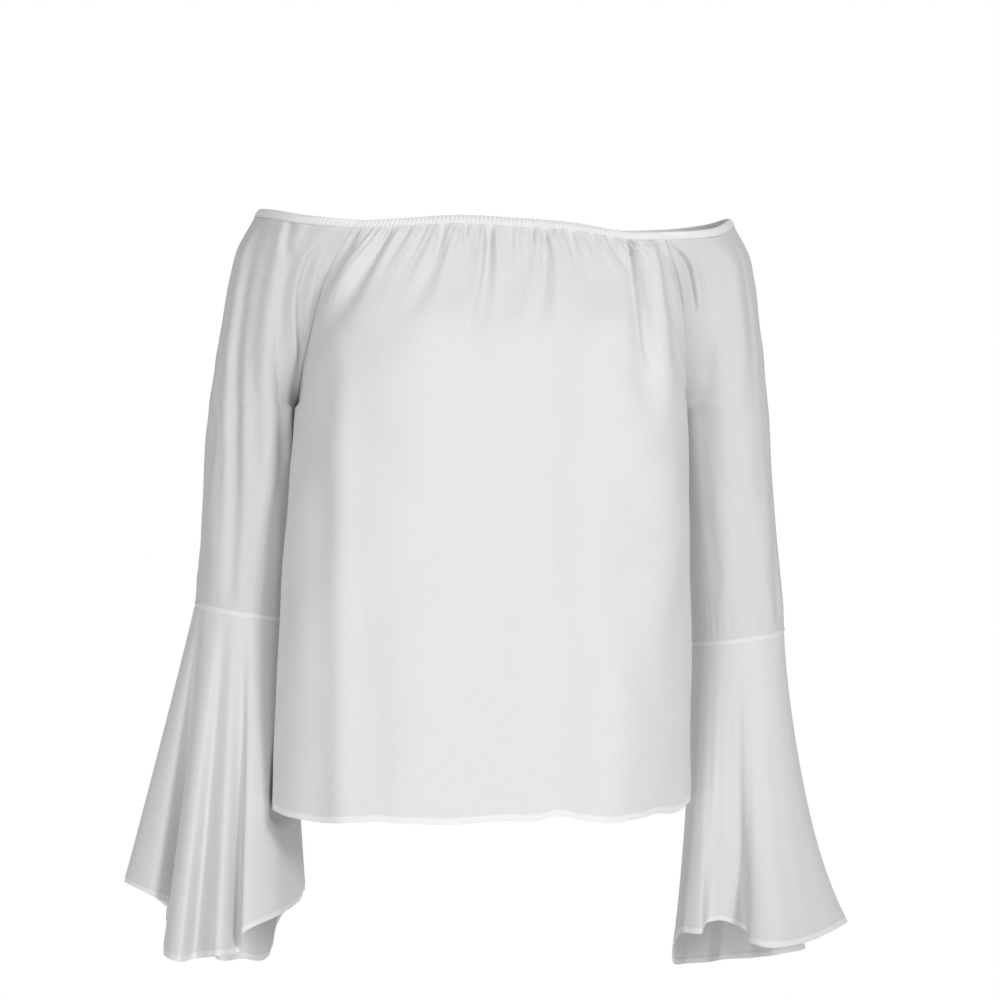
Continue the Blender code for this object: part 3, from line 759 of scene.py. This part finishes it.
def makeCrepe(name, paintedShadeTone):
    # painted shade: the same crepe is given a lower tone on the single-layer pieces, sleeves most,
    # standing in for their shade and for the dark showing through a sheer layer with nothing behind
    # it
    material, nodes, links, surface = newFinish(name)
    surface.inputs["Sheen Weight"].default_value = crepe["sheen"]
    surface.inputs["Sheen Roughness"].default_value = crepe["sheenRoughness"]
    surface.inputs["Specular IOR Level"].default_value = crepe["specular"]
    cut = nodes.new("ShaderNodeUVMap")
    cut.uv_map = "cut"
    weave = nodes.new("ShaderNodeGroup")
    weave.node_tree = weaveGroup
    weave.inputs["Pitch"].default_value = crepe["weavePitch"]
    links.new(cut.outputs[0], weave.inputs["Cut"])
    layers = nodes.new("ShaderNodeAttribute")
    layers.attribute_name = "layers"
    shade = mapRange(nodes, 0.15, 0.55, 0.945 * paintedShadeTone, 1.03 * paintedShadeTone)
    links.new(weave.outputs["Tone"], shade.inputs["Value"])
    thickness = nodes.new("ShaderNodeMix")
    thickness.data_type = "RGBA"
    thickness.inputs[6].default_value = crepe["colour"]
    thickness.inputs[7].default_value = crepe["doubled"]
    links.new(layers.outputs["Fac"], thickness.inputs[0])
    toned = nodes.new("ShaderNodeVectorMath")
    toned.operation = "SCALE"
    links.new(thickness.outputs[2], toned.inputs[0])
    links.new(shade.outputs[0], toned.inputs["Scale"])
    links.new(toned.outputs[0], surface.inputs["Base Color"])
    rough = mapRange(nodes, 0.2, 1.1, crepe["roughness"] + 0.06, crepe["roughness"] - 0.08)
    links.new(weave.outputs["Tone"], rough.inputs["Value"])
    links.new(rough.outputs[0], surface.inputs["Roughness"])
    relief = nodes.new("ShaderNodeBump")
    relief.inputs["Strength"].default_value = crepe["relief"]
    relief.inputs["Distance"].default_value = crepe["grain"]
    links.new(weave.outputs["Height"], relief.inputs["Height"])
    links.new(relief.outputs[0], surface.inputs["Normal"])
    return material


def makeThread(name, colour):
    material, nodes, links, surface = newFinish(name)
    surface.inputs["Sheen Weight"].default_value = 0.3
    place = nodes.new("ShaderNodeTexCoord")
    twist = nodes.new("ShaderNodeTexNoise")
    twist.inputs["Scale"].default_value = 2500
    links.new(place.outputs["Object"], twist.inputs["Vector"])
    ramp = mapRange(nodes, 0.3, 0.7, 0.55, 0.75)
    links.new(twist.outputs["Fac"], ramp.inputs["Value"])
    links.new(ramp.outputs[0], surface.inputs["Roughness"])
    surface.inputs["Base Color"].default_value = colour
    return material


# ---- the panels ----

pieces = {}


def addPanel(node, name, grid, layers, closedFrom, flip, wall):
    piece = makeCloth(name, grid, layers, closedFrom, flip, wall)
    pieces[node] = {"piece": piece, "grid": grid, "flip": flip}


for face in ("front", "back"):
    grid, layers = bodyPanel(face)
    addPanel(face, face + "Panel", grid, layers, len(grid), face == "back", body["wall"])
    print(face, "panel made")
for name, side in sides.items():
    grid, layers, closedFrom = sleevePanel(name)
    addPanel("sleeve_" + name, name + "Sleeve", grid, layers, closedFrom, side < 0, sleeve["wall"])
    grid, layers = flouncePanel(name)
    addPanel("flounce_" + name, name + "Flounce", grid, layers, 0, side < 0, flounce["wall"])
    print(name, "sleeve and flounce made")


# ---- the neckline casing ----


def neckPath(drop):
    # round the neckline along the front, the left sleeve, the back and the right sleeve
    frontCount = body["frontRuches"] * body["stepsPerRuche"]
    backCount = body["backRuches"] * body["stepsPerRuche"]
    front = even(bodySection(drop, "front"), frontCount)
    back = even(bodySection(drop, "back"), backCount)[::-1]
    left = sleeveSection(drop, 1)[0]
    right = (sleeveSection(drop, -1)[0] * (-1, 1))[::-1]
    path = np.concatenate([front[:-1], left[:-1], back[:-1], right])
    corners = np.cumsum([0, frontCount, sleeve["steps"], backCount, sleeve["steps"]])
    return raised(path, drop), corners


def casingGrid():
    upper, corners = neckPath(body["neckDrop"])
    lower, _ = neckPath(body["neckDrop"] + 6)
    lengths = lengthsOf(upper)
    total = lengths[-1]
    pitch = lengths[corners[1]] / body["frontRuches"]
    ruches = round(total / pitch)
    count = ruches * casing["stepsPerRuche"]
    at = np.linspace(0, total, count + 1)
    base = np.stack([np.interp(at, lengths, upper[:, axis]) for axis in range(3)], axis=1)
    under = np.stack([np.interp(at, lengths, lower[:, axis]) for axis in range(3)], axis=1)
    up = base - under
    up /= np.linalg.norm(up, axis=1)[:, None]
    wide = np.concatenate([base[-4:-1], base, base[1:4]])
    along = wide[6:] - wide[:-6]
    out = np.cross(along, up)
    out /= np.linalg.norm(out, axis=1)[:, None]
    tangent = along / np.linalg.norm(along, axis=1)[:, None]
    starts = lengths[corners]
    # full ruching on the front and back, nearly smooth over the sleeves
    full = np.zeros(count + 1)
    for start, end in ((starts[0], starts[1] - 26), (starts[2], starts[3])):
        full += rise((at - start + 48) / 48) * rise((end + 6 - at) / 24)
    full += rise((at - total + 48) / 48)
    gather = np.clip(full, 0, 1) * 0.92 + 0.08
    drift = 0.35 * wander(at, 5, 16)
    phase = at / pitch * 2 * np.pi + drift
    wave = np.cos(phase) + 0.25 * np.cos(2 * phase + 0.7) + 0.18 * wander(at, 6, 2.1)
    size = gather * (0.85 + 0.3 * wander(at, 8, 14))
    seamAt = sum(bump(at - place, 1.2) for place in (*starts[1:4], 0, total))
    rows = []
    for level, depth in casing["profile"][1:]:
        middle = math.sin(math.pi * min(1.0, max(0.0, level / casing["height"])))
        outer = 1.0 if depth > -0.6 else 0.0
        lift = casing["topWave"] * wave * size * (level / casing["height"]) ** 2
        lean = 0.25 * np.sin(phase * 0.5 + 1.1) * gather * level / casing["height"]
        push = depth * 0.8 + outer * casing["rucheHeight"] * wave * size * (0.35 + 0.65 * middle) \
            - 0.5 * seamAt * outer
        rows.append(base + up * (level + lift)[:, None] + out * push[:, None]
                    + tangent * lean[:, None])
    grid = np.array(rows)
    grid[:, -1] = grid[:, 0]
    return grid, base, out, up, at


def makeCasing():
    grid, base, out, up, at = casingGrid()
    ring = np.concatenate([grid, grid[:1]])
    rowCount, width = ring.shape[0], ring.shape[1] - 1
    joined = np.arange(rowCount * (width + 1)).reshape(rowCount, width + 1)
    joined[-1] = joined[0]
    joined[:, -1] = joined[:, 0]
    cut = np.column_stack([np.tile(at, rowCount), np.repeat(lengthsOf(ring[:, 0]), width + 1)])
    layers = np.full(joined.shape, casing["doubled"])
    return gridPiece("neckCasing", ring, joined, cut, layers, True), base, out, up


casingPiece, neckBase, neckOut, neckUp = makeCasing()
pieces["neck_casing"] = {"piece": casingPiece}
print("casing made")

# ---- stitches, by Geometry Nodes along the sewn lines ----

stitching = {
    "spacing": 2.6,
    "length": 1.9,
    "width": 0.32,
    "lift": 0.12,
    "colour": (0.80, 0.79, 0.78, 1),
}


def makeStitchTree():
    tree = bpy.data.node_groups.new("stitchesAlongPath", "GeometryNodeTree")
    tree.interface.new_socket("Path", in_out="INPUT", socket_type="NodeSocketGeometry")
    for name in ("Spacing", "Length", "Width"):
        tree.interface.new_socket(name, in_out="INPUT", socket_type="NodeSocketFloat")
    tree.interface.new_socket("Thread", in_out="INPUT", socket_type="NodeSocketMaterial")
    tree.interface.new_socket("Stitches", in_out="OUTPUT", socket_type="NodeSocketGeometry")
    nodes, links = tree.nodes, tree.links
    start, end = nodes.new("NodeGroupInput"), nodes.new("NodeGroupOutput")
    curve = nodes.new("GeometryNodeMeshToCurve")
    links.new(start.outputs["Path"], curve.inputs["Mesh"])
    resample = nodes.new("GeometryNodeResampleCurve")
    resample.mode = "LENGTH"
    links.new(curve.outputs[0], resample.inputs["Curve"])
    links.new(start.outputs["Spacing"], resample.inputs["Length"])
    tangent = nodes.new("GeometryNodeInputTangent")
    align = nodes.new("FunctionNodeAlignRotationToVector")
    align.axis = "X"
    links.new(tangent.outputs[0], align.inputs["Vector"])
    stitch = nodes.new("GeometryNodeMeshUVSphere")
    stitch.inputs["Segments"].default_value = 6
    stitch.inputs["Rings"].default_value = 4
    stitch.inputs["Radius"].default_value = 0.5
    size = nodes.new("ShaderNodeCombineXYZ")
    links.new(start.outputs["Length"], size.inputs["X"])
    links.new(start.outputs["Width"], size.inputs["Y"])
    links.new(start.outputs["Width"], size.inputs["Z"])
    place = nodes.new("GeometryNodeInstanceOnPoints")
    links.new(resample.outputs[0], place.inputs["Points"])
    links.new(stitch.outputs["Mesh"], place.inputs["Instance"])
    links.new(align.outputs[0], place.inputs["Rotation"])
    links.new(size.outputs[0], place.inputs["Scale"])
    real = nodes.new("GeometryNodeRealizeInstances")
    links.new(place.outputs[0], real.inputs[0])
    finish = nodes.new("GeometryNodeSetMaterial")
    links.new(real.outputs[0], finish.inputs["Geometry"])
    links.new(start.outputs["Thread"], finish.inputs["Material"])
    links.new(finish.outputs[0], end.inputs[0])
    return tree


stitchTree = makeStitchTree()
threadWhite = makeThread("threadWhite", stitching["colour"])


def rowAt(piece, fromEnd):
    # a line along a panel, a given way up from its hem, just proud of the cloth
    grid = piece["grid"]
    down = lengthsOf(grid[:, grid.shape[1] // 2])
    place = np.interp(down[-1] - fromEnd, down, np.arange(len(down)))
    low = min(int(place), len(down) - 2)
    part = place - low
    closed = np.allclose(grid[low, 0], grid[low, -1])
    push = outward(grid, closed, piece["flip"])[low]
    return grid[low] * (1 - part) + grid[low + 1] * part + push * stitching["lift"]


def sewLine(name, lines):
    vertices, edges = [], []
    for line in lines:
        first = len(vertices)
        vertices.extend((line * mm).tolist())
        edges.extend((first + place, first + place + 1) for place in range(len(line) - 1))
    mesh = bpy.data.meshes.new(name)
    mesh.from_pydata(vertices, edges, [])
    path = addObject(name, mesh)
    nodes = path.modifiers.new("stitches", "NODES")
    nodes.node_group = stitchTree
    inputs = {item.name: item.identifier for item in stitchTree.interface.items_tree
              if item.in_out == "INPUT"}
    nodes[inputs["Spacing"]] = stitching["spacing"] * mm
    nodes[inputs["Length"]] = stitching["length"] * mm
    nodes[inputs["Width"]] = stitching["width"] * mm
    nodes[inputs["Thread"]] = threadWhite
    evaluated = path.evaluated_get(bpy.context.evaluated_depsgraph_get())
    made = bpy.data.meshes.new_from_object(evaluated)
    path.modifiers.clear()
    made.shade_smooth()
    piece = addObject(name, made)
    bpy.data.objects.remove(path)
    piece.name = name
    return piece


sewn = {
    "bodyHemStitches": [rowAt(pieces["front"], body["hemWidth"] - 0.9),
                        rowAt(pieces["back"], body["hemWidth"] - 0.9)],
    "rightFlounceStitches": [rowAt(pieces["flounce_right"], flounce["hemWidth"] - 0.8)],
    "leftFlounceStitches": [rowAt(pieces["flounce_left"], flounce["hemWidth"] - 0.8)],
    "casingStitches": [neckBase + neckUp * 1.0 + neckOut * 0.9],
}
stitchPieces = {name: sewLine(name, lines) for name, lines in sewn.items()}
print("stitches sewn")

# ---- finishes ----

# tones below 1 on the sleeves and flounces are painted shade, darker copies of the one crepe
finishes = {"body": makeCrepe("bodyCrepe", 0.985), "sleeve": makeCrepe("sleeveCrepe", 0.89),
            "flounce": makeCrepe("flounceCrepe", 0.95)}
for node, made in pieces.items():
    made["piece"].data.materials.append(finishes.get(node.split("_")[0], finishes["body"]))
    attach(made["piece"], "root")
    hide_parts(node)
for name, piece in stitchPieces.items():
    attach(piece, "root")

# ---- floor and light ----

studio = {
    "floorLevel": -1.5,
    "floorRadius": 2.4,
    "floorSides": 96,
    "aim": (0, 0, -0.33),
    "ambient": 0.48,
    "sky": (0.985, 0.985, 1.0, 1),
    "lights": {
        "key": {"place": (1.0, -2.75, 0.4), "size": 0.5, "power": 30},
        "fill": {"place": (-1.2, -2.7, -0.5), "size": 1.0, "power": 17},
        "rear": {"place": (0.9, 2.6, 0.7), "size": 1.0, "power": 22},
    },
}

floorMesh = bpy.data.meshes.new("floor")
floorAngles = np.linspace(0, 2 * math.pi, studio["floorSides"] + 1)[:-1]
floorRim = [(math.cos(angle) * studio["floorRadius"], math.sin(angle) * studio["floorRadius"],
             studio["floorLevel"]) for angle in floorAngles]
floorMesh.from_pydata(floorRim, [], [list(range(studio["floorSides"]))])
floorFinish, _, _, floorSurface = newFinish("paleFloor")
floorSurface.inputs["Base Color"].default_value = (0.9, 0.9, 0.9, 1)
floorSurface.inputs["Roughness"].default_value = 0.9
floorMesh.materials.append(floorFinish)
addObject("floor", floorMesh)


def areaLight(name, light):
    data = bpy.data.lights.new(name, "AREA")
    data.size = light["size"]
    data.energy = light["power"]
    lamp = addObject(name, data)
    lamp.location = light["place"]
    aim = np.array(studio["aim"]) - np.array(light["place"])
    flatLength = math.hypot(aim[0], aim[1])
    lamp.rotation_euler = (math.atan2(flatLength, -aim[2]), 0,
                           math.atan2(aim[1], aim[0]) - math.pi / 2)


for name, light in studio["lights"].items():
    areaLight(name, light)

world = bpy.data.worlds.new("studio")
world.use_nodes = True
scene.world = world
worldNodes, worldLinks = world.node_tree.nodes, world.node_tree.links
worldNodes.clear()
seen = worldNodes.new("ShaderNodeLightPath")
soft, plain = worldNodes.new("ShaderNodeBackground"), worldNodes.new("ShaderNodeBackground")
soft.inputs["Strength"].default_value = studio["ambient"]
plain.inputs["Strength"].default_value = 1.0
soft.inputs["Color"].default_value = studio["sky"]
plain.inputs["Color"].default_value = (1, 1, 1, 1)
either = worldNodes.new("ShaderNodeMixShader")
skyOut = worldNodes.new("ShaderNodeOutputWorld")
worldLinks.new(seen.outputs["Is Camera Ray"], either.inputs[0])
worldLinks.new(soft.outputs[0], either.inputs[1])
worldLinks.new(plain.outputs[0], either.inputs[2])
worldLinks.new(either.outputs[0], skyOut.inputs[0])
scene.view_settings.view_transform = "Standard"
print("light set")
